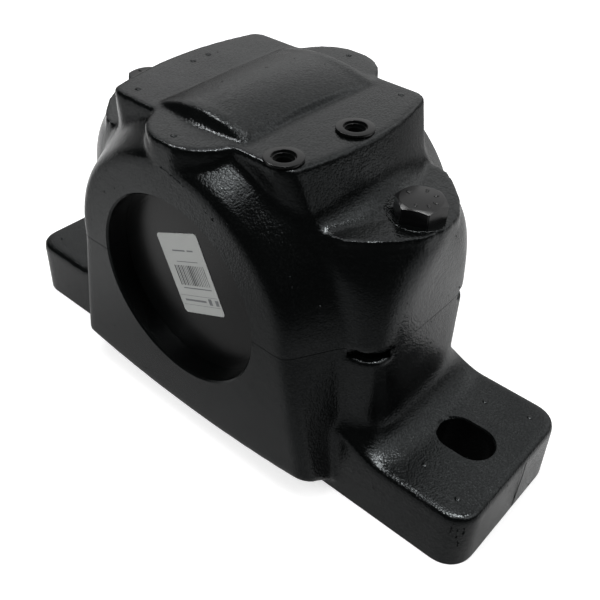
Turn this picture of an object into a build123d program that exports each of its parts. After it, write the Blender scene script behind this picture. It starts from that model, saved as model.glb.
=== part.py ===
from build123d import *
import os
from math import cos, radians, sin, sqrt, tan

# Split plummer block for a 65 mm shaft, closed at the front and open at the rear.
# Millimetres. X runs along the feet, Y along the shaft, Z up. The origin is the
# middle of the underside, and the front is the end face at -Y.

# Mounting sizes
base_length = 280.0
base_width = 80.0
foot_height = 29.7
centre_height = 80.0        # underside to bore axis, which is also the split
slot_inset = 25.0           # from a foot's end to the middle of its slot
slot_width = 18.0
slot_length = 24.0
slot_chamfer = 0.8
shaft_diameter = 65.0
foot_corner_radius = 12.0
foot_edge_radius = 2.5
foot_draft = 1.0            # degrees

# Outside of the casting, about the bore
housing_width = 115.0       # over the two end faces, along the shaft
end_radius = 60.5           # round end face, before its edge is rounded
end_edge_radius = 6.0
shoulder_radius = 72.2      # where the end cone meets the barrel
shoulder_y = 36.5
shoulder_rounding = 4.0
barrel_edge_radius = 74.2
barrel_edge_y = 33.0
barrel_edge_rounding = 3.0
crown_radius = 75.5         # barrel at its middle, which is the top of the cap

# Pads and bolt seats on the cap, with their rise above the split
pad_rise = 69.5
side_pad_reach = 53.5       # from the middle to the pad's outer edge
side_pad_bow = 136.0        # radius of that edge, seen from above
sensor_pad_radius = 22.0
sensor_pad_y = 36.0
seat_rise = 45.7
seat_crown = 128.0          # radius by which a seat falls away fore and aft
hollow_radius = 16.0        # hollow between a side pad and its bolt seat
hollow_x = 73.0
hollow_lean = 20.0          # degrees from upright, where the pad's flank starts

# Towers under the bolt seats. Seen from above each ends in half a superellipse,
# squared at the split, which grows and becomes more pointed up to the crest.
tower_start_x = 40.0
tower_length = 47.5         # from there to the tower's end, at the split
tower_half_width = 36.5
tower_squareness = 6.0
crest_rise = 47.0           # crest of the shoulders above the split
crest_length = 49.6
crest_half_width = 42.7
crest_squareness = 1.3
shoulder_stations = 8       # outlines from the split up to the crest
pad_corner_length = 13.5    # plan of a side pad's corners, in the same terms
pad_corner_squareness = 3.0
tower_foot_fillet = 17.0

# Lower drum under each end face
drum_foot_half_width = 74.0
drum_foot_height = 17.5
drum_sag = 6.0
drum_neck_half_width = 76.5
drum_neck_height = 3.0
drum_neck_sag = 0.5
drum_sole_radius = 1.0      # edge between the end face and its sole

# Inside of the casting
seat_diameter = 130.0
seat_width = 56.0
seat_clearance = 0.03
grease_radius = 60.0
grease_half_width = 36.0
grease_corner = 4.0
inner_lip_radius = 45.0
opening_radius = 43.4
opening_chamfer = 0.8
groove_radius = 50.0
groove_inner = 39.6         # seal grooves, measured from the middle
groove_outer = 47.0
pocket_x = (50.0, 77.0)     # cored pockets in the underside
pocket_y = (12.5, 29.5)
pocket_roof = 50.0
pocket_corner = 5.0
shell_wall = 10.0

# Cap bolts, dowel pins and levering notches
bolt_x = 76.3
bolt_diameter = 12.0
bolt_across_flats = 18.0
bolt_turn = 20.0            # the way the hexagon happens to stand after tightening
bolt_head_height = 7.5
bolt_bevel_width = 1.2      # at the head's corners
bolt_bevel_height = 1.6
bolt_length = 75.0
bolt_hole_diameter = 13.5
bolt_point = 1.5
thread_clearance = 0.05
bolt_bore_spare = 6.0       # threaded hole below the end of the bolt
spotface_radius = 12.6
spotface_depth = 0.3
dowel_diameter = 8.0
dowel_length = 18.0
dowel_x = 76.0
dowel_y = 21.0
dowel_clearance = 0.02
dowel_spare = 0.5           # hole beyond each end of a pin
dowel_chamfer = 0.6
notch_depth = 4.6
notch_length = 17.0
notch_inset_x = 8.9         # from the tower's end and its flank to the notch's wall
notch_inset_y = 8.3
notch_turn = 42.0

# Lubrication plugs in the right-hand pad
plug_places = {"side": (44.6, -1.2), "corner": (40.3, -36.0)}
plug_flange_radius = 7.5
plug_flange_height = 1.4
plug_shank_radius = 5.0
plug_shank_length = 11.0
plug_recess_radius = 4.3
plug_recess_depth = 3.0
plug_bore_radius = 3.1
plug_bore_depth = 8.0
plug_clearance = 0.03
plug_spare = 0.5            # hole below the end of a plug
plug_chamfer = 0.4
duct_radius = 3.5

# End cover at the front, the rubber strip behind it and its paper label
cover_clearance = 0.1
cover_thickness = 3.0
cover_strip_height = 5.0
label_width = 27.4
label_height = 38.2
label_corner = 3.0
label_thickness = 0.3
label_x = -1.4
label_z = 2.5               # above the bore axis
label_turn = 24.0

# Seal at the rear, in two halves
seal_clearance = 0.3        # lips round the shaft
seal_body_radius = 37.5
seal_lip_width = 1.2
seal_split_gap = 0.15

# Double row roller bearing with a taper bore
bearing_bore = 75.0
bearing_width = 31.0
raceway_radius = 58.3       # hollow sphere inside the outer ring
roller_radius = 6.9
roller_length = 10.5
rollers_per_row = 18
contact_angle = 9.8
running_gap = 0.3
cage_gap = 0.2
inner_land_radius = 45.6
inner_rib_radius = 47.2
ring_chamfer = 1.2
oil_groove_width = 6.0
oil_groove_depth = 1.2
oil_hole_radius = 1.6
oil_holes = 3
cage_thickness = 1.8
cage_inset = 0.1            # rim inside the bearing's side face
guide_ring_half_width = 1.3
guide_ring_outer = 51.6

# Adapter sleeve, with its washer and nut at the front
sleeve_taper = 1 / 12
sleeve_length = 55.0
sleeve_rear = 21.0          # thick end, measured from the middle
sleeve_slit = 4.0
sleeve_fit = 0.02
sleeve_chamfer = 1.0
washer_thickness = 1.5
washer_gap = 0.05
washer_radius = 45.5
washer_tab_radius = 50.5
washer_tabs = 13
washer_tab_width = 6.0
washer_key_width = 3.6
washer_key_reach = 1.0       # into the wall of the sleeve
nut_diameter = 98.0
nut_width = 13.0
nut_slots = 4
nut_slot_width = 8.0
nut_slot_depth = 3.5
nut_chamfer = 1.5

# Locating rings, one on each side of the bearing
locating_ring_bore = 59.6
locating_ring_gap = 26.0
locating_ring_play = 0.05

pad_height = centre_height + pad_rise
seat_height = centre_height + seat_rise
half_width = housing_width / 2
half_bearing = bearing_width / 2
seat_radius = seat_diameter / 2
half_seat = seat_width / 2
far = 400.0                 # larger than the block, for cutting it in two
overlap = 1.0               # by which a cutter or a joined piece runs past a face
margin = 5.0                # by which a section runs past the outline that trims it
axial = Plane(origin=(0, 0, centre_height), x_dir=(0, 1, 0), z_dir=(1, 0, 0))
bore_axis = Axis((0, 0, centre_height), (0, 1, 0))


def rounded(face, place, radius):
    """The face with the corner nearest to a place rounded."""
    corner = face.vertices().sort_by_distance(place)[0]
    return fillet(corner, radius)


def shape(points):
    """A face with straight edges through a list of corners."""
    return make_face(Polyline(*points, close=True))


def turned(face):
    """A face drawn as (distance along the shaft, radius), turned about the bore axis."""
    return revolve(axial * face, bore_axis)


def ring(start, end, inner, outer):
    """A plain ring about the bore axis, from one place along the shaft to another."""
    return turned(shape([(start, inner), (end, inner), (end, outer), (start, outer)]))


def upright(x, y, radius, bottom, top):
    """A cylinder with a vertical axis."""
    return Pos(x, y, (bottom + top) / 2) * Cylinder(radius, top - bottom)


def block(low, high):
    """A box from its lowest to its highest corner."""
    size = [top - bottom for bottom, top in zip(low, high)]
    centre = [(top + bottom) / 2 for bottom, top in zip(low, high)]
    return Pos(*centre) * Box(*size)


def across(solid):
    """The mirror image on the other side of the shaft."""
    return mirror(solid, Plane.YZ)


def behind(solid):
    """The mirror image at the other end of the shaft."""
    return mirror(solid, Plane.XZ)


def about_bore(solid, angle):
    """The solid turned about the bore axis by an angle in degrees."""
    return Pos(0, 0, centre_height) * Rot(0, angle, 0) * Pos(0, 0, -centre_height) * solid


above_split = block((-far, -far, centre_height), (far, far, far))
below_split = block((-far, -far, -far), (far, far, centre_height))


# Casting

def barrel():
    """Crowned barrel round the bore, with a cone and a round face at each end."""
    front = Polyline(
        (0, 0), (-half_width, 0), (-half_width, end_radius), (-shoulder_y, shoulder_radius),
        (-barrel_edge_y, barrel_edge_radius),
    )
    crown = ThreePointArc(
        (-barrel_edge_y, barrel_edge_radius), (0, crown_radius), (barrel_edge_y, barrel_edge_radius)
    )
    rear = Polyline(
        (barrel_edge_y, barrel_edge_radius), (shoulder_y, shoulder_radius),
        (half_width, end_radius), (half_width, 0), (0, 0),
    )
    face = make_face(front + crown + rear)
    for side in (-1, 1):
        face = rounded(face, (side * half_width, end_radius), end_edge_radius)
        face = rounded(face, (side * shoulder_y, shoulder_radius), shoulder_rounding)
        face = rounded(face, (side * barrel_edge_y, barrel_edge_radius), barrel_edge_rounding)
    return turned(face)


def tower_outline(height, length, half_breadth, squareness):
    """Right-hand tower seen from above: straight flanks, then half a superellipse."""
    steps = 24
    points = []
    for step in range(steps + 1):
        angle = radians(180 * step / steps - 90)
        along = max(cos(angle), 0) ** (2 / squareness)
        breadth = half_breadth * abs(sin(angle)) ** (2 / squareness)
        points.append((tower_start_x + length * along, breadth if angle > 0 else -breadth))
    flanks = Polyline(points[-1], (0, half_breadth), (0, -half_breadth), points[0])
    return Pos(0, 0, height) * make_face(Spline(*points) + flanks)


def shoulder_section(y):
    """Section across the shaft: the side pad, its hollow flank and the bolt seat."""
    bow = y * y / (2 * side_pad_bow)
    fall = y * y / (2 * seat_crown)
    seat = seat_height - fall
    lean = radians(hollow_lean)
    halfway = (lean + radians(90)) / 2
    middle_x = hollow_x - bow
    middle_z = seat + hollow_radius
    start = (middle_x - hollow_radius * cos(lean), middle_z - hollow_radius * sin(lean))
    inside = (middle_x - hollow_radius * cos(halfway), middle_z - hollow_radius * sin(halfway))
    reach = tower_start_x + crest_length + margin
    flank = Polyline((0, centre_height), (0, pad_height), (side_pad_reach - bow, pad_height), start)
    hollow = ThreePointArc(start, inside, (middle_x, seat))
    seat_line = Polyline((middle_x, seat), (reach, seat), (reach, centre_height), (0, centre_height))
    plane = Plane(origin=(0, y, 0), x_dir=(1, 0, 0), z_dir=(0, -1, 0))
    return plane * make_face(flank + hollow + seat_line)


def shoulder_outline(share):
    """Outline of a shoulder at a share of the way from the split to the crest."""
    length = tower_length + (crest_length - tower_length) * share
    half_width = tower_half_width + (crest_half_width - tower_half_width) * share ** 2
    squareness = tower_squareness + (crest_squareness - tower_squareness) * share
    return tower_outline(centre_height + crest_rise * share, length, half_width, squareness)


def cap_shoulder():
    """Right-hand shoulder of the cap, from the split up to the side pad."""
    last = shoulder_stations - 1
    sections = [shoulder_outline(station / last) for station in range(shoulder_stations)]
    top = tower_outline(pad_height, pad_corner_length, crest_half_width, pad_corner_squareness)
    column = loft(sections) + loft([sections[-1], top], ruled=True)
    reach = crest_half_width + margin
    under = loft([shoulder_section(y) for y in (-reach, -reach / 2, 0, reach / 2, reach)])
    return column & under


def cap_casting():
    """Solid cap, before it is machined."""
    pad = upright(0, -sensor_pad_y, sensor_pad_radius, centre_height, pad_height)
    pad = pad & block((-far, -half_width, 0), (far, 0, far))
    shoulder = cap_shoulder()
    return (barrel() & above_split) + shoulder + across(shoulder) + pad + behind(pad)


def drum():
    """Front lower drum, from its end face back to the neck beside the tower."""
    def section(y, top_half, low_half, low, sag):
        sides = Polyline(
            (-low_half, low), (-top_half, centre_height), (top_half, centre_height), (low_half, low)
        )
        sole = ThreePointArc((low_half, low), (0, low - sag), (-low_half, low))
        plane = Plane(origin=(0, y, 0), x_dir=(1, 0, 0), z_dir=(0, -1, 0))
        return plane * make_face(sides + sole)

    front = section(-half_width, end_radius, drum_foot_half_width, drum_foot_height, drum_sag)
    neck = section(-shoulder_y, shoulder_radius, drum_neck_half_width, drum_neck_height, drum_neck_sag)
    body = loft([neck, front], ruled=True)
    sides = body.faces().sort_by(Axis.Y)[0].edges().filter_by(GeomType.LINE)
    body = fillet(sides.sort_by(Axis.Z)[:2], end_edge_radius)
    sole = body.faces().sort_by(Axis.Y)[0].edges().sort_by(Axis.Z)[0]
    return fillet(sole, drum_sole_radius)


def on_foot_rim(edge):
    """Whether an edge belongs to the upper rim of a foot."""
    middle = edge @ 0.5
    draft = foot_height * tan(radians(foot_draft)) + 0.5
    outer = abs(middle.Y) > base_width / 2 - draft or abs(middle.X) > base_length / 2 - foot_corner_radius
    return outer and foot_height - 0.1 < middle.Z < foot_height + tower_foot_fillet and edge.length > 1


def base_casting():
    """Solid base, before it is machined."""
    tower = extrude(tower_outline(0, tower_length, tower_half_width, tower_squareness), centre_height)
    slab = block((-far / 2, -far / 3, 0), (far / 2, far / 3, foot_height))
    whole = tower + across(tower) + slab
    level = whole.edges().filter_by_position(Axis.Z, foot_height - 0.01, foot_height + 0.01)
    root = level.filter_by(lambda edge: abs(edge.center().X) < tower_start_x + tower_length + 1)
    root = root.filter_by(lambda edge: abs(edge.center().Y) < tower_half_width + 1)
    whole = fillet(root, tower_foot_fillet)
    plan = RectangleRounded(base_length, base_width, foot_corner_radius)
    foot = whole & extrude(plan, centre_height, taper=foot_draft)
    rim = foot.edges().filter_by(on_foot_rim)
    foot = fillet(rim, foot_edge_radius)
    shell = barrel() & block((-far, -shoulder_y, 0), (far, shoulder_y, centre_height))
    end = drum()
    return foot + shell + end + behind(end)


def bearing_hollow():
    """Everything that is machined or cored out about the bore axis."""
    lip = opening_radius + opening_chamfer
    half = [
        (half_seat, seat_radius + seat_clearance), (half_seat, grease_radius),
        (grease_half_width, grease_radius), (grease_half_width, inner_lip_radius),
        (groove_inner, inner_lip_radius), (groove_inner, groove_radius),
        (groove_outer, groove_radius), (groove_outer, opening_radius),
        (half_width - opening_chamfer, opening_radius), (half_width, lip), (half_width + overlap, lip),
        (half_width + overlap, 0),
    ]
    face = shape(half + [(-y, radius) for y, radius in reversed(half)])
    for side in (-1, 1):
        face = rounded(face, (side * grease_half_width, grease_radius), grease_corner)
    return turned(face)


def housing_cap():
    cap = cap_casting() - bearing_hollow()
    for side in (-1, 1):
        cap -= upright(side * bolt_x, 0, bolt_hole_diameter / 2, 0, seat_height)
        cap -= upright(side * bolt_x, 0, spotface_radius, seat_height - spotface_depth, pad_height)
        cap -= dowel_hole(side)
    for x, y in plug_places.values():
        bottom = pad_height - plug_shank_length - plug_spare
        cap -= upright(x, y, plug_shank_radius + plug_clearance, bottom, far)
        cap -= upright(x, y, duct_radius, centre_height, pad_height)
    return cap


def dowel_hole(side):
    """Hole through the split for the dowel pin of one side."""
    reach = dowel_length / 2 + dowel_spare
    radius = dowel_diameter / 2 + dowel_clearance
    return upright(side * dowel_x, side * dowel_y, radius, centre_height - reach, centre_height + reach)


def underside_pockets():
    """Four cored pockets under the bore, two on each side of the middle rib."""
    wide, deep = pocket_x[1] - pocket_x[0], pocket_y[1] - pocket_y[0]
    plan = RectangleRounded(wide, deep, pocket_corner)
    middle = Pos(pocket_x[0] + wide / 2, pocket_y[0] + deep / 2, 0)
    pocket = middle * extrude(plan, pocket_roof) - ring(-far, far, 0, seat_radius + shell_wall)
    return [pocket, across(pocket), behind(pocket), across(behind(pocket))]


def levering_notch(side, end):
    """Notch under one corner of the cap, for a lever."""
    height = centre_height - notch_depth / 2
    notch = Pos(notch_length / 2, 0, 0) * Box(notch_length, notch_length, notch_depth)
    turn = notch_turn if side * end > 0 else -notch_turn
    heading = turn if side > 0 else 180 + turn
    x = tower_start_x + tower_length - notch_inset_x
    y = tower_half_width - notch_inset_y
    return Pos(side * x, end * y, height) * Rot(0, 0, heading) * notch


def foot_slot(side):
    slot = extrude(SlotOverall(slot_length, slot_width), foot_height)
    rims = slot.faces().sort_by(Axis.Z)[-1].edges()
    mouth = SlotOverall(slot_length + 2 * slot_chamfer, slot_width + 2 * slot_chamfer)
    slot += Pos(0, 0, foot_height) * extrude(mouth, -slot_chamfer, taper=45)
    return Pos(side * (base_length / 2 - slot_inset), 0, 0) * slot


def housing_base():
    base = base_casting() - bearing_hollow()
    bore_bottom = seat_height - spotface_depth - bolt_length - bolt_bore_spare
    for side in (-1, 1):
        base -= foot_slot(side)
        base -= upright(side * bolt_x, 0, bolt_diameter / 2 + thread_clearance, bore_bottom, far)
        base -= dowel_hole(side)
        for end in (-1, 1):
            base -= levering_notch(side, end)
    for pocket in underside_pockets():
        base -= pocket
    return base


# Fasteners and plugs

def bolt_head():
    """Hexagon with its upper corners turned down to a bevel."""
    corner = bolt_across_flats / sqrt(3)
    outer = corner + bolt_bevel_width
    envelope = shape([
        (0, 0), (outer, 0), (outer, bolt_head_height - 2 * bolt_bevel_height),
        (corner - bolt_bevel_width, bolt_head_height), (0, bolt_head_height),
    ])
    return extrude(RegularPolygon(corner, 6), bolt_head_height) & revolve(Plane.XZ * envelope, Axis.Z)


def cap_bolt(side):
    """Hexagon bolt from the cap's seat into the base."""
    shank = Cylinder(bolt_diameter / 2, bolt_length, align=(Align.CENTER, Align.CENTER, Align.MAX))
    shank = chamfer(shank.edges().sort_by(Axis.Z)[0], bolt_point)
    place = Pos(side * bolt_x, 0, seat_height - spotface_depth)
    return place * Rot(0, 0, bolt_turn) * (bolt_head() + shank)


def dowel_pin(side):
    pin = Cylinder(dowel_diameter / 2, dowel_length)
    pin = chamfer(pin.edges().filter_by(GeomType.CIRCLE), dowel_chamfer)
    return Pos(side * dowel_x, side * dowel_y, centre_height) * pin


def lubrication_plug(place):
    """Flanged plug with a stepped recess, closed at its lower end."""
    x, y = plug_places[place]
    top = plug_flange_height
    face = shape([
        (0, -plug_shank_length), (plug_shank_radius, -plug_shank_length), (plug_shank_radius, 0),
        (plug_flange_radius, 0), (plug_flange_radius, top - plug_chamfer),
        (plug_flange_radius - plug_chamfer, top), (plug_recess_radius, top),
        (plug_recess_radius, top - plug_recess_depth), (plug_bore_radius, top - plug_recess_depth),
        (plug_bore_radius, top - plug_bore_depth), (0, top - plug_bore_depth),
    ])
    return Pos(x, y, pad_height) * revolve(Plane.XZ * face, Axis.Z)


# End cover, label and seal

def end_cover():
    """Blank disc in the front seal groove."""
    front = -groove_outer + cover_clearance
    return ring(front, front + cover_thickness, 0, groove_radius - cover_clearance)


def cover_strip():
    """Rubber strip that fills the groove behind the end cover."""
    front = -groove_outer + 2 * cover_clearance + cover_thickness
    back = -groove_inner - cover_clearance
    outer = groove_radius - cover_clearance
    return ring(front, back, outer - cover_strip_height, outer)


def cover_label():
    """Paper label on the front of the end cover."""
    paper = RectangleRounded(label_width, label_height, label_corner)
    plane = Plane(
        origin=(label_x, -groove_outer + cover_clearance, centre_height + label_z),
        x_dir=(1, 0, 0), z_dir=(0, -1, 0),
    )
    return extrude(plane * Rot(0, 0, label_turn) * paper, label_thickness)


def shaft_seal(half):
    """Half of the rear seal: a body in the groove, with two thin lips."""
    inner, outer = groove_inner + cover_clearance, groove_outer - cover_clearance
    lip = shaft_diameter / 2 + seal_clearance
    body = ring(inner, outer, seal_body_radius, groove_radius - cover_clearance)
    body += ring(inner, inner + seal_lip_width, lip, seal_body_radius)
    body += ring(outer - seal_lip_width, outer, lip, seal_body_radius)
    return body & (Pos(0, 0, half * seal_split_gap) * (above_split if half > 0 else below_split))


# Bearing

def row_centre():
    """Middle of a rear-row roller, as (distance along the shaft, radius)."""
    reach = raceway_radius - running_gap - roller_radius
    angle = radians(contact_angle)
    return reach * sin(angle), reach * cos(angle)


def roller_profile(grown=0.0, whole=False):
    """Section of a rear-row roller with its axis, grown all round by a gap."""
    y, radius = row_centre()
    angle = radians(contact_angle)
    half_length = roller_length / 2 + grown
    swell = raceway_radius - running_gap + grown
    tip_radius = sqrt(swell ** 2 - half_length ** 2) - (swell - roller_radius - grown)

    def at(along, out):
        return (y + along * cos(angle) + out * sin(angle), radius - along * sin(angle) + out * cos(angle))

    top = roller_radius + grown
    upper = ThreePointArc(at(-half_length, tip_radius), at(0, top), at(half_length, tip_radius))
    if not whole:
        right = Line(at(half_length, tip_radius), at(half_length, 0))
        middle = Line(at(half_length, 0), at(-half_length, 0))
        left = Line(at(-half_length, 0), at(-half_length, tip_radius))
        return make_face(upper + right + middle + left)
    lower = ThreePointArc(at(half_length, -tip_radius), at(0, -top), at(-half_length, -tip_radius))
    right = Line(at(half_length, tip_radius), at(half_length, -tip_radius))
    left = Line(at(-half_length, -tip_radius), at(-half_length, tip_radius))
    return make_face(upper + right + lower + left)


def roller(grown=0.0):
    """Barrel roller at the top of the rear row."""
    y, radius = row_centre()
    angle = radians(contact_angle)
    spin = Axis((0, y, centre_height + radius), (0, cos(angle), -sin(angle)))
    return revolve(axial * roller_profile(grown), spin)


def roller_row(end, grown=0.0):
    """All rollers of one row, as a list. The two rows are half a pitch apart."""
    one = roller(grown) if end > 0 else Rot(0, 0, 180) * roller(grown)
    pitch = 360 / rollers_per_row
    offset = 0 if end > 0 else pitch / 2
    return [about_bore(one, offset + pitch * number) for number in range(rollers_per_row)]


def outer_ring():
    inner = sqrt(raceway_radius ** 2 - half_bearing ** 2)
    raceway = ThreePointArc((-half_bearing, inner), (0, raceway_radius), (half_bearing, inner))
    half_groove = oil_groove_width / 2
    low = seat_radius - oil_groove_depth
    outside = Polyline(
        (half_bearing, inner), (half_bearing, seat_radius - ring_chamfer),
        (half_bearing - ring_chamfer, seat_radius), (half_groove, seat_radius), (half_groove, low),
        (-half_groove, low), (-half_groove, seat_radius), (-half_bearing + ring_chamfer, seat_radius),
        (-half_bearing, seat_radius - ring_chamfer), (-half_bearing, inner),
    )
    whole = turned(make_face(raceway + outside))
    hole = upright(0, 0, oil_hole_radius, centre_height, centre_height + far)
    for number in range(oil_holes):
        whole -= about_bore(hole, 360 / oil_holes * number)
    return whole


def taper_radius(y):
    """Radius of the taper bore at a distance along the shaft. It widens to the rear."""
    return bearing_bore / 2 + (y + half_bearing) * sleeve_taper / 2


def inner_ring():
    land, rib = inner_land_radius, inner_rib_radius
    half_land = guide_ring_half_width + running_gap
    blank = shape([
        (-half_bearing, taper_radius(-half_bearing)), (half_bearing, taper_radius(half_bearing)),
        (half_bearing, rib - ring_chamfer), (half_bearing - ring_chamfer, rib), (half_land, rib),
        (half_land, land), (-half_land, land), (-half_land, rib), (-half_bearing + ring_chamfer, rib),
        (-half_bearing, rib - ring_chamfer),
    ])
    raceway = turned(roller_profile(running_gap, whole=True))
    return turned(blank) - raceway - behind(raceway)


def cage(end):
    """Comb cage: a rim outside the rollers and a finger between each two."""
    y, radius = row_centre()
    angle = radians(contact_angle)
    half = cage_thickness / 2
    start = y - roller_length / 2 * cos(angle)
    stop = half_bearing - cage_inset
    start_radius = radius - (start - y) * tan(angle)
    stop_radius = radius - (stop - y) * tan(angle)
    comb = turned(shape([
        (start, start_radius - half), (stop, stop_radius - half),
        (stop, stop_radius + half), (start, start_radius + half),
    ]))
    comb = comb if end > 0 else behind(comb)
    return comb - roller_row(end, cage_gap)


def guide_ring():
    inner = inner_land_radius + running_gap
    return ring(-guide_ring_half_width, guide_ring_half_width, inner, guide_ring_outer)


def locating_ring(end):
    """Ring with a gap at its top, between the bearing and the end of its seat."""
    inner_end, outer_end = half_bearing + locating_ring_play, half_seat - locating_ring_play
    whole = ring(inner_end, outer_end, locating_ring_bore, seat_radius)
    half_gap = locating_ring_gap / 2
    whole -= block((-half_gap, 0, centre_height), (half_gap, half_width, far))
    return whole if end > 0 else behind(whole)


# Adapter sleeve, washer and nut

def adapter_sleeve():
    front = sleeve_rear - sleeve_length
    bore = shaft_diameter / 2
    thread = bearing_bore / 2 - sleeve_fit
    body = turned(shape([
        (front, bore), (sleeve_rear, bore), (sleeve_rear, taper_radius(sleeve_rear) - sleeve_fit),
        (-half_bearing, thread), (front + sleeve_chamfer, thread), (front, thread - sleeve_chamfer),
    ]))
    half_slit = sleeve_slit / 2
    return body - block((-half_slit, -far, 0), (half_slit, far, centre_height))


def lock_washer():
    """Washer with tabs round it and one key in the sleeve's slit."""
    rear = -half_bearing - washer_gap
    front = rear - washer_thickness
    bore = bearing_bore / 2 + washer_gap
    washer = ring(front, rear, bore, washer_radius)
    half_tab = washer_tab_width / 2
    root, tip = centre_height + washer_radius - overlap, centre_height + washer_tab_radius
    tab = block((-half_tab, front, root), (half_tab, rear, tip))
    for number in range(washer_tabs):
        washer += about_bore(tab, 360 / washer_tabs * number)
    half_key = washer_key_width / 2
    root, tip = centre_height - bore - overlap, centre_height - bore + washer_key_reach
    key = block((-half_key, front, root), (half_key, rear, tip))
    return washer + key


def lock_nut():
    rear = -half_bearing - washer_thickness - 2 * washer_gap
    front = rear - nut_width
    outer = nut_diameter / 2
    nut = turned(shape([
        (front, bearing_bore / 2 + washer_gap), (rear, bearing_bore / 2 + washer_gap),
        (rear, outer - nut_chamfer), (rear - nut_chamfer, outer), (front + nut_chamfer, outer),
        (front, outer - nut_chamfer),
    ]))
    half_slot = nut_slot_width / 2
    floor = centre_height + outer - nut_slot_depth
    slot = block((-half_slot, front - overlap, floor), (half_slot, rear + overlap, far))
    for number in range(nut_slots):
        nut -= about_bore(slot, 360 / nut_slots * (number + 0.5))
    return nut


def parts():
    """Every node's name with its solid or solids."""
    yield "housing_base", housing_base()
    yield "housing_cap", housing_cap()
    for side, name in ((1, "right"), (-1, "left")):
        yield "cap_bolt_" + name, cap_bolt(side)
        yield "dowel_pin_" + name, dowel_pin(side)
    for place in plug_places:
        yield "lubrication_plug_" + place, lubrication_plug(place)
    yield "end_cover", end_cover()
    yield "cover_strip", cover_strip()
    yield "cover_label", cover_label()
    yield "shaft_seal_upper", shaft_seal(1)
    yield "shaft_seal_lower", shaft_seal(-1)
    yield "outer_ring", outer_ring()
    yield "inner_ring", inner_ring()
    for end, name in ((-1, "front"), (1, "rear")):
        yield "rollers_" + name, Compound(children=roller_row(end))
        yield "cage_" + name, cage(end)
        yield "locating_ring_" + name, locating_ring(end)
    yield "guide_ring", guide_ring()
    yield "adapter_sleeve", adapter_sleeve()
    yield "lock_washer", lock_washer()
    yield "lock_nut", lock_nut()


os.makedirs("parts", exist_ok=True)
for node, solid in parts():
    export_step(solid, f"parts/{node}.step")
    print(node, len(solid.solids()), "solids", round(solid.volume), "mm3")
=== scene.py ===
import bmesh
import bpy
import math
import numpy as np
from mathutils import Matrix, Vector, noise


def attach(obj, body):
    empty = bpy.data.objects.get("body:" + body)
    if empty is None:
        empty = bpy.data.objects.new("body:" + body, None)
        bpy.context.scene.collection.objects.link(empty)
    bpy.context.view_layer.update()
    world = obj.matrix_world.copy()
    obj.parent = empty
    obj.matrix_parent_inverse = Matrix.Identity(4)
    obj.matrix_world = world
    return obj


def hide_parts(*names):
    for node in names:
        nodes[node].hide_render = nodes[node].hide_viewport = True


# Split plummer block: gloss black painted castings, closed front, adapter sleeve bearing inside.
# Meshes are in metres. Lengths in the dictionaries are millimetres and go through mm, angles are degrees.

mm = 0.001
axisHeight = 80.0                # bore axis over the sole, where cap and base part; the axis runs along Y
boreAxis = Vector((0, 0, axisHeight)) * mm
capFace, footFace = 149.5, 29.7  # tops of the cap's side pads and of the feet
boltX, boltSeat = 76.3, 125.4    # cap bolts either side of the bore, and the face under their heads
plugPlaces = {"side": (44.6, -1.2), "corner": (40.3, -36.0)}
rangeSockets = ("From Min", "From Max", "To Min", "To Max")

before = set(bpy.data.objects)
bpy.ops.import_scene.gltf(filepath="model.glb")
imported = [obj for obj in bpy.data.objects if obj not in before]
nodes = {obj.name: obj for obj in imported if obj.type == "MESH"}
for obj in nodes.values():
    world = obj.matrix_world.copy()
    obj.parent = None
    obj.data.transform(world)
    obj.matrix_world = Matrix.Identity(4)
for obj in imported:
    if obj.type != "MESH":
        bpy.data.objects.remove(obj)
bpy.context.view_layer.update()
scene = bpy.context.scene
print("frame loaded,", len(nodes), "nodes")


def linearColour(hexColour):
    channels = [int(hexColour[i:i + 2], 16) / 255 for i in (1, 3, 5)]
    return tuple(c / 12.92 if c <= 0.04045 else ((c + 0.055) / 1.055) ** 2.4 for c in channels) + (1,)


def addNode(tree, kind, inputs=None, **settings):
    node = tree.nodes.new(kind)
    for name, value in settings.items():
        setattr(node, name, value)
    for name, value in (inputs or {}).items():
        if isinstance(value, bpy.types.NodeSocket):
            tree.links.new(value, node.inputs[name])
        else:
            node.inputs[name].default_value = value
    return node


def newMaterial(name, colour, roughness, **sockets):
    material = bpy.data.materials.new(name)
    material.use_nodes = True
    tree = material.node_tree
    shader = tree.nodes["Principled BSDF"]
    shader.inputs["Base Color"].default_value = linearColour(colour)
    shader.inputs["Roughness"].default_value = roughness
    for socket, value in sockets.items():
        shader.inputs[socket].default_value = value
    place = addNode(tree, "ShaderNodeTexCoord").outputs["Object"]
    return material, tree, shader, place


def addBump(tree, shader, place, layers, detail=1.5):
    # each layer is the noise size and the depth in millimetres, laid one over the other
    bump = None
    for size, depth in layers:
        texture = addNode(tree, "ShaderNodeTexNoise", {"Vector": place, "Scale": 1 / (size * mm),
                                                       "Detail": detail})
        links = {"Height": texture.outputs["Fac"], "Distance": depth * mm}
        if bump:
            links["Normal"] = bump.outputs["Normal"]
        bump = addNode(tree, "ShaderNodeBump", links)
    tree.links.new(bump.outputs["Normal"], shader.inputs["Normal"])
    return bump


def newPiece(name, mesh, material, node=None):
    # a finished piece on the housing, in place of the CAD node that it dresses
    piece = bpy.data.objects.new(name, mesh)
    scene.collection.objects.link(piece)
    mesh.materials.clear()
    mesh.materials.append(material)
    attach(piece, "housing")
    if node:
        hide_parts(node)


def shaded(mesh, smoothAngle):
    mesh.polygons.foreach_set("use_smooth", [smoothAngle is not None] * len(mesh.polygons))
    if smoothAngle is not None:
        mesh.set_sharp_from_angle(angle=math.radians(smoothAngle))
    return mesh


def meshOf(bm, name="tool", smoothAngle=None):
    mesh = bpy.data.meshes.new(name)
    bm.to_mesh(mesh)
    bm.free()
    return shaded(mesh, smoothAngle)


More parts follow.
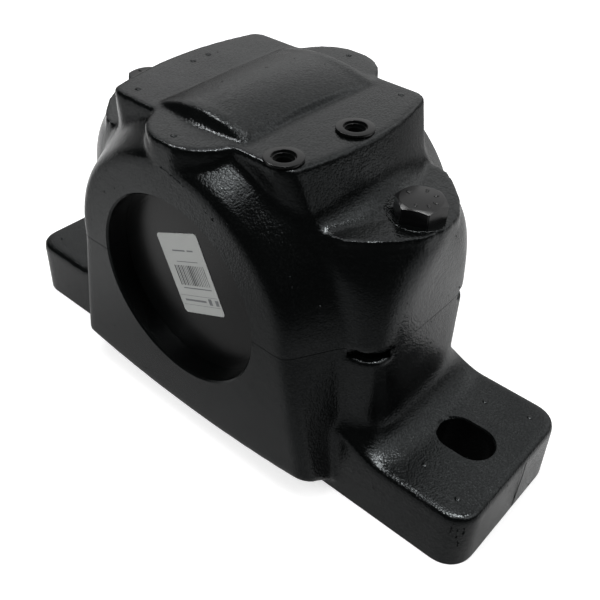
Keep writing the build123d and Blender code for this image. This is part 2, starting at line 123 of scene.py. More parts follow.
def joined(meshes):
    bm = bmesh.new()
    for mesh in meshes:
        bm.from_mesh(mesh)
    return bm


def turned(profile, segments=128, place=None):
    # closed profile of (along, radius) in mm, turned about the bore axis or about an upright place
    bm = bmesh.new()
    rings = []
    for along, radius in profile:
        row = []
        for i in range(segments):
            turn = 2 * math.pi * i / segments
            across, up = radius * math.cos(turn), radius * math.sin(turn)
            point = Vector((across, along, up)) if place is None else Vector((across, up, along))
            row.append(bm.verts.new(point * mm + (boreAxis if place is None else Vector(place) * mm)))
        rings.append(row)
    for a, b in zip(rings, rings[1:] + rings[:1]):
        for i in range(segments):
            bm.faces.new((a[i], a[i - 1], b[i - 1], b[i]))
    bmesh.ops.remove_doubles(bm, verts=bm.verts, dist=1e-7)
    bmesh.ops.dissolve_degenerate(bm, edges=bm.edges, dist=1e-8)
    bmesh.ops.recalc_face_normals(bm, faces=bm.faces)
    return bm


def roundedOutline(length, width, radius, steps=10):
    points = []
    for corner in range(4):
        cx = (length / 2 - radius) * (1 if corner in (0, 3) else -1)
        cy = (width / 2 - radius) * (1 if corner in (0, 1) else -1)
        for i in range(steps + 1):
            turn = math.pi / 2 * (corner + i / steps)
            points.append((cx + radius * math.cos(turn), cy + radius * math.sin(turn)))
    return points


def stacked(layers, x=0, y=0, turn=0):
    # closed body through outlines with the same number of points, each at its own height
    bm = bmesh.new()
    cos, sin = math.cos(math.radians(turn)), math.sin(math.radians(turn))
    rings = []
    for height, outline in layers:
        rings.append([bm.verts.new(Vector((x + px * cos - py * sin, y + px * sin + py * cos, height)) * mm)
                      for px, py in outline])
    bm.faces.new(reversed(rings[0]))
    bm.faces.new(rings[-1])
    for low, high in zip(rings, rings[1:]):
        for i in range(len(low)):
            bm.faces.new((low[i - 1], low[i], high[i], high[i - 1]))
    return bm


def prism(outline, low, high, x=0, y=0, turn=0):
    return stacked([(low, outline), (high, outline)], x, y, turn)


def modified(mesh, kind, inputs=None, **settings):
    # the plain mesh that one modifier makes
    thing = bpy.data.objects.new("tool", mesh)
    scene.collection.objects.link(thing)
    step = thing.modifiers.new("step", kind)
    for name, value in settings.items():
        setattr(step, name, value)
    for identifier, value in (inputs or {}).items():
        step[identifier] = value
    seen = bpy.context.evaluated_depsgraph_get()
    result = bpy.data.meshes.new_from_object(thing.evaluated_get(seen))
    bpy.data.objects.remove(thing)
    return result


def combined(mesh, cutter, operation):
    # boolean of two closed meshes
    tool = bpy.data.objects.new("cutter", cutter)
    scene.collection.objects.link(tool)
    result = modified(mesh, "BOOLEAN", operation=operation, object=tool, solver="MANIFOLD")
    bpy.data.objects.remove(tool)
    return result


def newTree(name, sizes):
    # a Geometry Nodes tree with a named input for each size
    tree = bpy.data.node_groups.new(name, "GeometryNodeTree")
    tree.interface.new_socket("Geometry", in_out="INPUT", socket_type="NodeSocketGeometry")
    for size, kind in sizes.items():
        tree.interface.new_socket(size, in_out="INPUT", socket_type="NodeSocket" + kind)
    tree.interface.new_socket("Geometry", in_out="OUTPUT", socket_type="NodeSocketGeometry")
    return tree, addNode(tree, "NodeGroupInput").outputs


def finishTree(tree, geometry, material, smooth=True):
    real = addNode(tree, "GeometryNodeRealizeInstances", {"Geometry": geometry})
    shade = addNode(tree, "GeometryNodeSetShadeSmooth", {"Geometry": real.outputs["Geometry"],
                                                         "Shade Smooth": smooth})
    finish = addNode(tree, "GeometryNodeSetMaterial", {"Geometry": shade.outputs["Geometry"],
                                                       "Material": material})
    addNode(tree, "NodeGroupOutput", {"Geometry": finish.outputs["Geometry"]})
    return tree


def grown(mesh, tree, values):
    # a tree run on a mesh, with its inputs set by their identifiers
    names = {item.name: item.identifier for item in tree.interface.items_tree if item.in_out == "INPUT"}
    return modified(mesh, "NODES", {names[size]: value for size, value in values.items()}, node_group=tree)


def castingPaint():
    # alkyd enamel sprayed on sand cast iron: deep gloss black, sand grain and orange peel a bright speckle
    paint = {
        # the mirror tint is a faint blue painted into the paint's reflections, standing in for the cool
        # window light
        "colour": "#050606", "roughness": 0.15, "ior": 1.38, "paintedWindowTint": (0.94, 1.0, 1.02, 1),
        "grain": (0.8, 0.26), "peel": (2.2, 0.08), "ripple": (7.0, 0.06),
        "patchMm": 16.0, "patchDetail": 3.0, "speckMm": 0.8, "speckDetail": 2.0, "speck": "#0e0f0f",
        # two limits of the noise, or of the height in metres, and what they give
        "sandy": (0.35, 0.65, 0.55, 1.0), "finer": (0.06, 0.09, 1.0, 0.65), "tips": (0.45, 0.75, 0.0, 1.0),
        "paintedPitShade": (0.35, 0.65, 0.66, 0.34), "dull": (0.35, 0.7, 0.12, 0.2),
    }
    ranges = ("sandy", "finer", "tips", "paintedPitShade", "dull")
    limits = {name: dict(zip(rangeSockets, paint[name])) for name in ranges}
    material, tree, shader, place = newMaterial(
        "glossBlackEnamelOnCasting", paint["colour"], paint["roughness"], IOR=paint["ior"])
    # painted reflection colour: a slight blue on every reflection of the paint, for the window light
    shader.inputs["Specular Tint"].default_value = paint["paintedWindowTint"]
    bump = addBump(tree, shader, place, (paint["ripple"], paint["peel"], paint["grain"]))
    patches = addNode(tree, "ShaderNodeTexNoise", {
        "Vector": place, "Scale": 1 / (paint["patchMm"] * mm), "Detail": paint["patchDetail"]}).outputs["Fac"]
    specks = addNode(tree, "ShaderNodeTexNoise", {
        "Vector": place, "Scale": 1 / (paint["speckMm"] * mm), "Detail": paint["speckDetail"]}).outputs["Fac"]
    # the sand shows more in some places than in others, and less on the cap
    sandy = addNode(tree, "ShaderNodeMapRange", {"Value": patches, **limits["sandy"]})
    height = addNode(tree, "ShaderNodeSeparateXYZ", {"Vector": place})
    finer = addNode(tree, "ShaderNodeMapRange", {"Value": height.outputs["Z"], **limits["finer"]})
    rough = addNode(tree, "ShaderNodeMath", {0: sandy.outputs["Result"], 1: finer.outputs["Result"]},
                    operation="MULTIPLY")
    tree.links.new(rough.outputs["Value"], bump.inputs["Strength"])
    # thin paint on the tips of the sand is a little greyer; sockets 6, 7 and out 2 are a Mix node's colours
    tips = addNode(tree, "ShaderNodeMapRange", {"Value": specks, **limits["tips"]})
    tone = addNode(tree, "ShaderNodeMix", {"Factor": tips.outputs["Result"], 6: linearColour(paint["colour"]),
                                           7: linearColour(paint["speck"])}, data_type="RGBA")
    tree.links.new(tone.outputs[2], shader.inputs["Base Color"])
    # less mirror on the specks: painted shade standing in for the small shadows in the sand's pits
    paintedPitShade = addNode(tree, "ShaderNodeMapRange", {"Value": specks, **limits["paintedPitShade"]})
    tree.links.new(paintedPitShade.outputs["Result"], shader.inputs["Specular IOR Level"])
    dull = addNode(tree, "ShaderNodeMapRange", {"Value": patches, **limits["dull"]})
    tree.links.new(dull.outputs["Result"], shader.inputs["Roughness"])
    return material


def plainFinish(name, colour, roughness, layers, **sockets):
    material, tree, shader, place = newMaterial(name, colour, roughness, **sockets)
    addBump(tree, shader, place, layers)
    return material


def turnedMetal(name, colour, roughness, pitchMm, depthMm):
    # fine rings about the bore axis, as a lathe or a grinding wheel leaves them, drawn coarse enough to show
    rings = {"coarser": 6.28, "distortion": 0.6, "detail": 1.0, "strength": 0.5}
    material, tree, shader, place = newMaterial(name, colour, roughness, Metallic=1.0)
    centred = addNode(tree, "ShaderNodeMapping", {"Vector": place, "Location": tuple(-boreAxis)})
    wave = addNode(tree, "ShaderNodeTexWave", {
        "Vector": centred.outputs["Vector"], "Scale": 1 / (rings["coarser"] * pitchMm * mm),
        "Distortion": rings["distortion"], "Detail": rings["detail"]}, wave_type="RINGS", rings_direction="Y")
    bump = addNode(tree, "ShaderNodeBump", {"Height": wave.outputs["Fac"], "Distance": depthMm * mm,
                                            "Strength": rings["strength"]})
    tree.links.new(bump.outputs["Normal"], shader.inputs["Normal"])
    return material


paintBlack = castingPaint()
# forged bolt under hot black oxide: satin, with a slight scale
boltBlack = plainFinish("blackOxideOnForgedSteel", "#0a0a0b", 0.28, ((0.6, 0.012), (3.0, 0.03)), IOR=1.42)
# moulded black polyamide with a faint sheen and no grain to speak of
plugBlack = plainFinish("mouldedBlackPolyamide", "#0c0d0d", 0.2, ((1.5, 0.01),), IOR=1.38)
# moulded black ABS disc, satin, very slightly wavy
coverBlack = plainFinish("mouldedBlackAbs", "#0a0b0b", 0.27, ((9.0, 0.05), (0.7, 0.006)), IOR=1.38)
# uncoated label stock set to a grey that carries painted shade from the recess it sits in, and the two inks
# on it
labelPaperWithPaintedShade = plainFinish("uncoatedLabelPaperWithPaintedShade", "#a9aba9", 0.6, ((0.5, 0.004),))
labelInk = plainFinish("blackPrintersInk", "#2e2f32", 0.6, ((0.5, 0.004),))
paleInk = plainFinish("greyPrintersInk", "#6c6e70", 0.6, ((0.5, 0.004),))
# nitrile rubber, dull and slightly dusty
sealRubber = plainFinish("mouldedNitrileRubber", "#161617", 0.55, ((0.8, 0.02),))
# steels and iron inside, from fine ground to plainly turned
bearingSteel = turnedMetal("groundBearingSteel", "#c4c6c8", 0.2, 0.5, 0.004)
cageSteel = turnedMetal("pressedSteelCage", "#a9a9a4", 0.32, 1.2, 0.004)
sleeveSteel = turnedMetal("phosphatedSteelSleeve", "#5d5f61", 0.42, 0.6, 0.008)
ringIron = turnedMetal("turnedGreyIron", "#7b7c7e", 0.4, 0.8, 0.012)
pinSteel = plainFinish("groundDowelSteel", "#c4c6c8", 0.22, ((0.4, 0.002),), Metallic=1.0)
print("materials made")


# the two CAD halves as one rough casting with its openings closed, smoothed, then machined apart
casting = {
    "voxel": 1.0, "edgePasses": 4, "edgePull": 0.5, "valleyPasses": 10, "valleyPull": 0.55, "sharpAngle": 38,
    "valleys": [((36, 26, 2), (96, 52, 146))],          # between barrel or drum and towers, at each corner
    "waveHeight": 0.03, "waveLength": 9.0, "waveFiner": 2.3,
    "footLength": 280.0, "footWidth": 80.0, "footCorner": 12.0, "splitGap": 0.3,
    "slotX": 114.4, "slotLength": 25.5, "slotWidth": 18.0, "slotMouth": 0.7,
    "pocketX": 63.5, "pocketY": 21.0, "pocketLength": 27.0, "pocketWidth": 17.0, "pocketCorner": 5.0,
    "pocketRoof": 50.0, "shell": (50.0, 75.0),          # half length and radius that the pockets keep out of
    "notchX": 78.6, "notchY": 28.2, "notchLength": 17.0, "notchDepth": 4.6, "notchTurn": 42.0,
    "plugHole": (138.4, 5.05),                          # from this height up, radius
    # the crown's long sides drop to the pads in a short steep step
    "crownSide": ((-38.4, 22.4), (-10, 22.2), (10, 23.2), (38.4, 24.2)), "crownSlope": 0.6,
    "crownOuter": 45.0, "crownStep": 3.0, "crownClear": 8.0,
    # the crown stands proud of the end pads
    "lipProfile": ((32, 60), (32, 74.6), (36.9, 73.9), (38.8, 69.4), (38.8, 60)),
    "lipBlock": (80.0, 120.0, 2.0),
    # flush bolt seats, and the cove that rises from them to the barrel
    "seatOutline": ((56, 35), (61.5, 34.4), (67.4, 33), (74.3, 27.6), (81.6, 19.9), (87.6, 10.8),
                    (89.3, 1.5)),
    "seatBottom": 117.0, "seatTop": 126.0,
    "seatRise": ((60, 130.6), (62, 129.6), (65, 127.3), (68, 125.9)), "coveBottom": 120.0, "coveHalf": 7.5,
    "boreProfile": (
        (-60, 0), (-60, 44.4), (-57.5, 44.2), (-56.7, 43.4), (-47, 43.4), (-47, 50), (-39.6, 50), (-39.6, 45),
        (-36, 45), (-36, 60), (-28, 60), (-28, 65.03), (28, 65.03), (28, 60), (36, 60), (36, 45), (39.6, 45),
        (39.6, 50), (47, 50), (47, 43.4), (56.7, 43.4), (57.5, 44.2), (60, 44.4), (60, 0),
    ),
}
# blocks that close the openings of the rough casting, and blocks wider than the whole of it
blanks = {
    "bore": (57.5, 47.0), "bolt": (20.0, 8.0), "plug": (120.0, 6.0), "slotSpare": 3.0, "slotCorner": 8.0,
    "pocketSpare": 2.0, "soleDrop": 6.0, "soleTop": 0.3, "top": 170.0,
    "whole": (400.0, 400.0, 1.0), "wholeLow": -50.0, "wholeHigh": 300.0, "soleLow": -40.0, "cutLow": -20.0,
}


def notchBlock(side, end):
    # levering notch between cap and base
    turn = casting["notchTurn"] * (side * end) + (0 if side > 0 else 180)
    length = casting["notchLength"]
    outline = [(0, -length / 2), (length, -length / 2), (length, length / 2), (0, length / 2)]
    return prism(outline, axisHeight - casting["notchDepth"], axisHeight,
                 side * casting["notchX"], end * casting["notchY"], turn)


def voxels(mesh):
    return modified(mesh, "REMESH", mode="VOXEL", voxel_size=casting["voxel"] * mm)


def crownSide(side):
    # cutter beside the crown, its inner wall leaning over the crown
    line, outer, slope = casting["crownSide"], casting["crownOuter"], casting["crownSlope"]
    layers = []
    for rise, lean in ((0, slope), (casting["crownStep"], -slope), (casting["crownClear"], -slope)):
        outline = [(side * (x + lean), y) for y, x in line]
        layers.append((capFace + rise, outline + [(side * outer, line[-1][0]), (side * outer, line[0][0])]))
    body = stacked(layers)
    bmesh.ops.recalc_face_normals(body, faces=body.faces)
    return meshOf(body)


def pocketBody(side, end, spare, low, high):
    length, width = casting["pocketLength"] + spare, casting["pocketWidth"] + spare
    outline = roundedOutline(length, width, casting["pocketCorner"])
    return meshOf(prism(outline, low, high, side * casting["pocketX"], end * casting["pocketY"]))


def boltSeatBlank(side):
    half = [(side * x, y) for x, y in casting["seatOutline"]]
    return meshOf(prism([(x, -y) for x, y in half] + half[::-1], casting["seatBottom"], casting["seatTop"]))


def coveBlank(side):
    rise, bottom = list(casting["seatRise"]), casting["coveBottom"]
    outline = [(rise[0][0], bottom)] + rise + [(rise[-1][0], bottom)]
    cove = prism([(side * x, z) for x, z in outline], -casting["coveHalf"], casting["coveHalf"])
    bmesh.ops.rotate(cove, matrix=Matrix.Rotation(math.pi / 2, 3, "X"), verts=cove.verts)
    return meshOf(cove)


def crownLip(side):
    lip = turned([(side * y, radius) for y, radius in casting["lipProfile"]], 256)
    above = prism(roundedOutline(*casting["lipBlock"]), capFace - 1, blanks["top"])
    return combined(meshOf(lip), meshOf(above), "INTERSECT")


def upright(low, high, radius, place, segments):
    return meshOf(turned([(low, 0), (low, radius), (high, radius), (high, 0)], segments, place))


def lying(half, radius, segments):
    return meshOf(turned([(-half, 0), (-half, radius), (half, radius), (half, 0)], segments))


def roughCasting():
    foot = roundedOutline(casting["footLength"], casting["footWidth"], casting["footCorner"])
    low, spare = -blanks["soleDrop"], blanks["slotSpare"]
    fillers = [lying(*blanks["bore"], 96), meshOf(prism(foot, low, blanks["soleTop"]))]
    slot = roundedOutline(casting["slotLength"] + spare, casting["slotWidth"] + spare, blanks["slotCorner"])
    for side in (-1, 1):
        fillers += [
            upright(blanks["bolt"][0], boltSeat - 0.1, blanks["bolt"][1], (side * boltX, 0, 0), 32),
            meshOf(prism(slot, low, footFace, side * casting["slotX"])),
            boltSeatBlank(side), coveBlank(side), crownLip(side),
        ]
        for end in (-1, 1):
            fillers.append(pocketBody(side, end, blanks["pocketSpare"], low, casting["pocketRoof"] + 1))
    for x, y in plugPlaces.values():
        fillers.append(upright(blanks["plug"][0], capFace, blanks["plug"][1], (x, y, 0), 32))
    bm = joined([nodes["housing_base"].data, nodes["housing_cap"].data])
    bmesh.ops.remove_doubles(bm, verts=bm.verts, dist=2e-6)
    mesh = voxels(meshOf(joined([meshOf(bm)] + fillers)))
    for side in (-1, 1):
        mesh = combined(mesh, crownSide(side), "DIFFERENCE")
    return voxels(mesh)


def boxWeight(points, low, high, margin=5.0):
    # one inside the box, falling softly to nothing at its faces
    weight = np.ones(len(points))
    for axis in range(3):
        rise = np.clip((points[:, axis] - low[axis]) / margin, 0, 1)
        fall = np.clip((high[axis] - points[:, axis]) / margin, 0, 1)
        weight *= rise * rise * (3 - 2 * rise) * fall * fall * (3 - 2 * fall)
    return weight


def smoothed(mesh):
    # round every edge a little and the valleys more, then add the slow waves of a sand mould
    count = len(mesh.vertices)
    points = np.empty(count * 3)
    mesh.vertices.foreach_get("co", points)
    points = points.reshape(-1, 3) / mm
    ends = np.empty(len(mesh.edges) * 2, dtype=np.int64)
    mesh.edges.foreach_get("vertices", ends)
    a, b = ends.reshape(-1, 2).T
    share = np.bincount(np.concatenate((a, b)), minlength=count).clip(1)

    def pull(place):
        # the way from each point to the mean of its neighbours
        mean = np.empty_like(place)
        for axis in range(3):
            mean[:, axis] = np.bincount(a, place[b, axis], count) + np.bincount(b, place[a, axis], count)
        return mean / share[:, None] - place

    def normals(place):
        mesh.vertices.foreach_set("co", (place * mm).ravel())
        mesh.update()
        found = np.empty(count * 3)
        mesh.vertices.foreach_get("normal", found)
        return found.reshape(-1, 3)

    for _ in range(casting["edgePasses"]):
        points += casting["edgePull"] * pull(points)
    valley = np.zeros(count)
    away = np.abs(points)
    away[:, 2] = points[:, 2]
    for low, high in casting["valleys"]:
        valley = np.maximum(valley, boxWeight(away, low, high))
    facing = normals(points)
    for _ in range(casting["valleyPasses"]):
        hollow = (pull(points) * facing).sum(1).clip(0)
        points += (casting["valleyPull"] * valley * hollow)[:, None] * facing
    facing = normals(points)
    places = [Vector(point) / casting["waveLength"] for point in points]
    wave = np.array([noise.noise(p) + 0.5 * noise.noise(p * casting["waveFiner"]) for p in places])
    points += facing * (wave * casting["waveHeight"])[:, None]
    normals(points)
    return mesh


def slotCutter(side):
    # foot slot with a small flare at its mouth
    length, width, mouth = casting["slotLength"], casting["slotWidth"], casting["slotMouth"]
    flare = 2 * (mouth + 0.5)
    slot = roundedOutline(length, width, width / 2 - 0.01, 14)
    wide = roundedOutline(length + flare, width + flare, (width + flare) / 2 - 0.01, 14)
    layers = [(blanks["cutLow"], slot), (footFace - mouth, slot), (footFace + 0.5, wide)]
    return meshOf(stacked(layers, side * casting["slotX"]))


def machined(mesh):
    whole = roundedOutline(*blanks["whole"])
    shell = lying(*casting["shell"], 128)
    cutters = [meshOf(turned(casting["boreProfile"], 192))]
    for side in (-1, 1):
        cutters.append(slotCutter(side))
        for end in (-1, 1):
            pocket = pocketBody(side, end, 0, blanks["cutLow"], casting["pocketRoof"])
            cutters.append(combined(pocket, shell, "DIFFERENCE"))
    low, radius = casting["plugHole"]
    for x, y in plugPlaces.values():
        cutters.append(upright(low, capFace + 1, radius, (x, y, 0), 64))
    cutters.append(meshOf(prism(whole, blanks["soleLow"], 0)))
    for cutter in cutters:
        mesh = combined(mesh, cutter, "DIFFERENCE")
    gap = casting["splitGap"] / 2
    cap = combined(mesh, meshOf(prism(whole, axisHeight + gap, blanks["wholeHigh"])), "INTERSECT")
    base = combined(mesh, meshOf(prism(whole, blanks["wholeLow"], axisHeight - gap)), "INTERSECT")
    for side in (-1, 1):
        for end in (-1, 1):
            base = combined(base, meshOf(notchBlock(side, end)), "DIFFERENCE")
    return cap, base


capMesh, baseMesh = machined(smoothed(roughCasting()))
for name, mesh, node in (("capCasting", capMesh, "housing_cap"), ("baseCasting", baseMesh, "housing_base")):
    newPiece(name, shaded(mesh, casting["sharpAngle"]), paintBlack, node)
    print(name, "has", sum(len(p.vertices) - 2 for p in mesh.polygons), "triangles")


# small raised beads of paint or metal, one on each point
def beadTree(material):
    tree, given = newTree("beads", {"Length": "Float", "Width": "Float", "Height": "Float"})
    bead = addNode(tree, "GeometryNodeMeshUVSphere", {"Segments": 20, "Rings": 10, "Radius": 1.0})
    size = addNode(tree, "ShaderNodeCombineXYZ", {"X": given["Length"], "Y": given["Width"],
                                                  "Z": given["Height"]})
    turn = addNode(tree, "GeometryNodeInputNamedAttribute", {"Name": "turn"}, data_type="FLOAT_VECTOR")
    placed = addNode(tree, "GeometryNodeInstanceOnPoints", {
        "Points": given["Geometry"], "Instance": bead.outputs["Mesh"], "Rotation": turn.outputs["Attribute"],
        "Scale": size.outputs["Vector"]})
    return finishTree(tree, placed.outputs["Instances"], material)


def beads(points, turns, size, material):
    # points in mm, turns about Z, size as the three half lengths
    mesh = bpy.data.meshes.new("beads")
    mesh.from_pydata([Vector(point) * mm for point in points], [], [])
    turn = mesh.attributes.new("turn", "FLOAT_VECTOR", "POINT")
    turn.data.foreach_set("vector", [v for angle in turns for v in (0, 0, math.radians(angle))])
    length, width, height = (value * mm for value in size)
    return grown(mesh, beadTree(material), {"Length": length, "Width": width, "Height": height})


# ends of the core vents and ejector marks, left as low pimples in the paint
pimples = {
    "size": (1.35, 1.35, 0.5), "sunk": 0.05,
    "foot": ((109.4, 23.9), (109.4, -23.9), (128.9, 29.1), (128.9, -29.1)),
    "cap": ((39.6, 35), (0, 51), (0, -51), (-39, -35), (-43.7, -0.9), (-44.1, 8.4)),
}


def pimplePoints():
    points = [(side * x, y, footFace - pimples["sunk"]) for side in (-1, 1) for x, y in pimples["foot"]]
    return points + [(x, y, capFace - pimples["sunk"]) for x, y in pimples["cap"]]


points = pimplePoints()
pimpleMesh = beads(points, [0] * len(points), pimples["size"], paintBlack)
newPiece("castPimples", pimpleMesh, paintBlack)


# threads of paint, the parting line and scars: an uneven tube along a path, half sunk in the surface
threads = {
    "step": 0.5, "wave": 2.2, "sides": 10,
    # a run of paint beside each bolt head, as an arc about the bolt
    "ridge": {"radius": 12.3, "from": -158, "to": -12, "height": 126.0, "points": 25,
              "thick": 0.38, "wander": 1.3},
    "parting": {"line": ((140.0, 6.2, 29.0), (140.05, 6.0, 20.0), (140.05, 5.4, 10.0), (140.0, 5.0, 0.8)),
                "thick": 0.16, "wander": 0.25},
    # along the front arch's edge: radius about the bore axis at either end, then turn at either end
    "arch": {"scars": ((58.6, 56.2, 91.4, 79.1), (54.0, 54.1, 67.4, 60.3)), "plane": -57.4, "points": 15,
             "thick": 0.26, "wander": 1.0},
    # blurred stamping left at the foot's corner: turn about the rounded corner, height and drop
    "corner": {"scars": ((24, 24.0, 4.0), (38, 22.5, 5.0), (50, 24.0, 3.5), (45, 15.0, 2.0)), "points": 7,
               "bend": 3, "thick": 0.26, "wander": 1.0},
}


def threadTree(material):
    sizes = {"Radius": "Float", "Step": "Float", "Wander": "Float", "Wave": "Float"}
    tree, given = newTree("paintThread", sizes)
    curve = addNode(tree, "GeometryNodeMeshToCurve", {"Mesh": given["Geometry"]})
    even = addNode(tree, "GeometryNodeResampleCurve", {"Curve": curve.outputs["Curve"],
                                                       "Length": given["Step"]}, mode="LENGTH")
    uneven = addNode(tree, "ShaderNodeTexNoise", {"Scale": given["Wave"], "Detail": 1.0})
    centred = addNode(tree, "ShaderNodeVectorMath", {0: uneven.outputs["Color"], 1: (0.5, 0.5, 0.5)},
                      operation="SUBTRACT")
    moved = addNode(tree, "ShaderNodeVectorMath", {0: centred.outputs["Vector"], "Scale": given["Wander"]},
                    operation="SCALE")
    path = addNode(tree, "GeometryNodeSetPosition", {"Geometry": even.outputs["Curve"],
                                                     "Offset": moved.outputs["Vector"]})
    ring = addNode(tree, "GeometryNodeCurvePrimitiveCircle", {"Resolution": threads["sides"],
                                                              "Radius": given["Radius"]})
    tube = addNode(tree, "GeometryNodeCurveToMesh", {
        "Curve": path.outputs["Geometry"], "Profile Curve": ring.outputs["Curve"], "Fill Caps": True})
    return finishTree(tree, tube.outputs["Mesh"], material)


def thread(points, kind):
    mesh = bpy.data.meshes.new("thread")
    links = [(i, i + 1) for i in range(len(points) - 1)]
    mesh.from_pydata([Vector(point) * mm for point in points], links, [])
    look = threads[kind]
    return grown(mesh, paintTree, {"Radius": look["thick"] * mm, "Wander": look["wander"] * mm,
                                   "Step": threads["step"] * mm, "Wave": 1 / (threads["wave"] * mm)})


def arcPoints(near, far, start, end, count):
    # an arc whose radius and turn both run evenly from end to end
    points = []
    for i in range(count):
        share = i / (count - 1)
        radius, turn = near + (far - near) * share, math.radians(start + (end - start) * share)
        points.append((radius * math.cos(turn), radius * math.sin(turn)))
    return points


def cornerPoints(turn, z, drop):
    # down the front right corner of the foot
    corner, radius = threads["corner"], casting["footCorner"]
    x, y = casting["footLength"] / 2 - radius, casting["footWidth"] / 2 - radius
    points, last = [], corner["points"] - 1
    for i in range(corner["points"]):
        bent = math.radians(turn + corner["bend"] * math.sin(i / 2))
        points.append((x + radius * math.sin(bent), -y - radius * math.cos(bent), z - drop * i / last))
    return points


def allThreads():
    ridge, arch = threads["ridge"], threads["arch"]
    bow = arcPoints(ridge["radius"], ridge["radius"], ridge["from"], ridge["to"], ridge["points"])
    meshes = [thread([(side * boltX + x, y, ridge["height"]) for x, y in bow], "ridge") for side in (-1, 1)]
    for side in (-1, 1):
        meshes.append(thread([(side * x, side * y, z) for x, y, z in threads["parting"]["line"]], "parting"))
    for scar in arch["scars"]:
        line = arcPoints(*scar, arch["points"])
        meshes.append(thread([(x, arch["plane"], axisHeight + z) for x, z in line], "arch"))
    for scar in threads["corner"]["scars"]:
        meshes.append(thread(cornerPoints(*scar), "corner"))
    return meshes


paintTree = threadTree(paintBlack)
newPiece("paintThreads", meshOf(joined(allThreads()), "paintThreads", 60), paintBlack)


# dust nibs under the paint, scattered over both castings
nibs = {"perSquareMetre": 1500.0, "small": 0.18, "large": 0.5, "flat": (1, 1, 0.55), "seed": 7}


def nibTree(material):
    tree, given = newTree("dustNibs", {"Density": "Float", "Small": "Float", "Large": "Float", "Seed": "Int"})
    spread = addNode(tree, "GeometryNodeDistributePointsOnFaces", {
        "Mesh": given["Geometry"], "Density": given["Density"], "Seed": given["Seed"]},
        distribute_method="RANDOM")
    nib = addNode(tree, "GeometryNodeMeshIcoSphere", {"Radius": 1.0, "Subdivisions": 2})
    size = addNode(tree, "FunctionNodeRandomValue", {2: given["Small"], 3: given["Large"],
                                                     "Seed": given["Seed"]})
    flat = addNode(tree, "ShaderNodeVectorMath", {0: nibs["flat"], "Scale": size.outputs[1]},
                   operation="SCALE")
    placed = addNode(tree, "GeometryNodeInstanceOnPoints", {
        "Points": spread.outputs["Points"], "Instance": nib.outputs["Mesh"],
        "Rotation": spread.outputs["Rotation"], "Scale": flat.outputs["Vector"]})
    return finishTree(tree, placed.outputs["Instances"], material)


def dustNibs(mesh):
    return grown(mesh, nibTree(paintBlack), {
        "Density": nibs["perSquareMetre"], "Small": nibs["small"] * mm, "Large": nibs["large"] * mm,
        "Seed": nibs["seed"]})


nibMesh = meshOf(joined([dustNibs(capMesh), dustNibs(baseMesh)]), "dustNibs", 60)
newPiece("dustNibs", nibMesh, paintBlack)
print("paint details made,", len(nibMesh.polygons), "faces of dust nibs")


# cap bolts: bevelled hexagon heads with plain raised dashes, shanks down into the base
bolt = {
    "flats": 18.0, "height": 7.5, "turn": 20.0, "bevelWidth": 1.84, "bevelHeight": 1.06, "rim": (0.1, 0.3),
    "cornerRound": 0.35, "shank": 6.0, "tip": 4.5, "tipLength": 1.5, "length": 75.0,
    "dashTurns": (-78, -30, 5, 58, 104, 180), "dashRadius": 5.9, "dash": (1.15, 0.7, 0.4), "dashSunk": 0.02,
}


def aboutAxis(radius, turn):
    return radius * math.cos(math.radians(turn)), radius * math.sin(math.radians(turn))


def boltMesh(x):
    corner = bolt["flats"] / math.sqrt(3)
    hexagon = [aboutAxis(corner, 60 * i) for i in range(6)]
    low, high, tip = boltSeat, boltSeat + bolt["height"], boltSeat - bolt["length"]
    head = prism(hexagon, low, high, x, 0, bolt["turn"])
    edges = [e for e in head.edges if abs(e.verts[0].co.z - e.verts[1].co.z) > mm]
    bmesh.ops.bevel(head, geom=edges, offset=bolt["cornerRound"] * mm, segments=3, affect="EDGES")
    # the bevel's cone cuts the hexagon's corners into arcs
    outer, inner = corner + bolt["bevelWidth"], corner - bolt["bevelWidth"]
    drop, soft = bolt["rim"]
    envelope = turned([(low - 1, 0), (low - 1, outer), (high - 2 * bolt["bevelHeight"], outer),
                       (high - drop, inner), (high, inner - soft), (high, 0)], 96, (x, 0, 0))
    shank = turned([(tip, 0), (tip, bolt["tip"]), (tip + bolt["tipLength"], bolt["shank"]),
                    (low + 0.5, bolt["shank"]), (low + 0.5, 0)], 48, (x, 0, 0))
    spots = [aboutAxis(bolt["dashRadius"], turn) for turn in bolt["dashTurns"]]
    points = [(x + across, along, high - bolt["dashSunk"]) for across, along in spots]
    marks = beads(points, bolt["dashTurns"], bolt["dash"], boltBlack)
    bevelled = combined(meshOf(head), meshOf(envelope), "INTERSECT")
    return meshOf(joined([bevelled, meshOf(shank), marks]), "capBolt", 32)


for side, word in ((1, "right"), (-1, "left")):
    newPiece("capBolt" + word.title(), boltMesh(side * boltX), boltBlack, "cap_bolt_" + word)


# lubrication plugs: flange with a shadow gap under it, a stepped recess and a dark bore
plug = {
    "gap": 0.25, "top": 150.85, "flange": 7.5, "shaft": 5.0, "rimRound": 0.3, "edgeRound": 0.15,
    "recess": 4.6, "recessDepth": 0.9, "step": 3.9, "stepDepth": 2.2, "bore": 3.0, "boreDepth": 8.0,
    "bottom": 138.5,
}


def plugMesh(place):
    flange, recess, step, bore = plug["flange"], plug["recess"], plug["step"], plug["bore"]
    top, low, soft, edge = plug["top"], capFace + plug["gap"], plug["rimRound"], plug["edgeRound"]
    floor, ledge, end = (top - plug[depth] for depth in ("recessDepth", "stepDepth", "boreDepth"))
    profile = [
        (plug["bottom"], 0), (plug["bottom"], plug["shaft"]), (low, plug["shaft"]),
        (low, flange - edge), (low + edge, flange), (top - soft, flange), (top - 0.1, flange - 0.1),
        (top, flange - soft), (top, recess + edge), (top - edge, recess), (floor, recess),
        (floor, step + edge), (floor - edge, step),
        (ledge, step), (ledge, bore), (end, bore), (end, 0),
    ]
    return meshOf(turned(profile, 72, (*plugPlaces[place], 0)), "lubricationPlug", 30)


for place in plugPlaces:
    newPiece("lubricationPlug" + place.title(), plugMesh(place), plugBlack,
             "lubrication_plug_" + place)


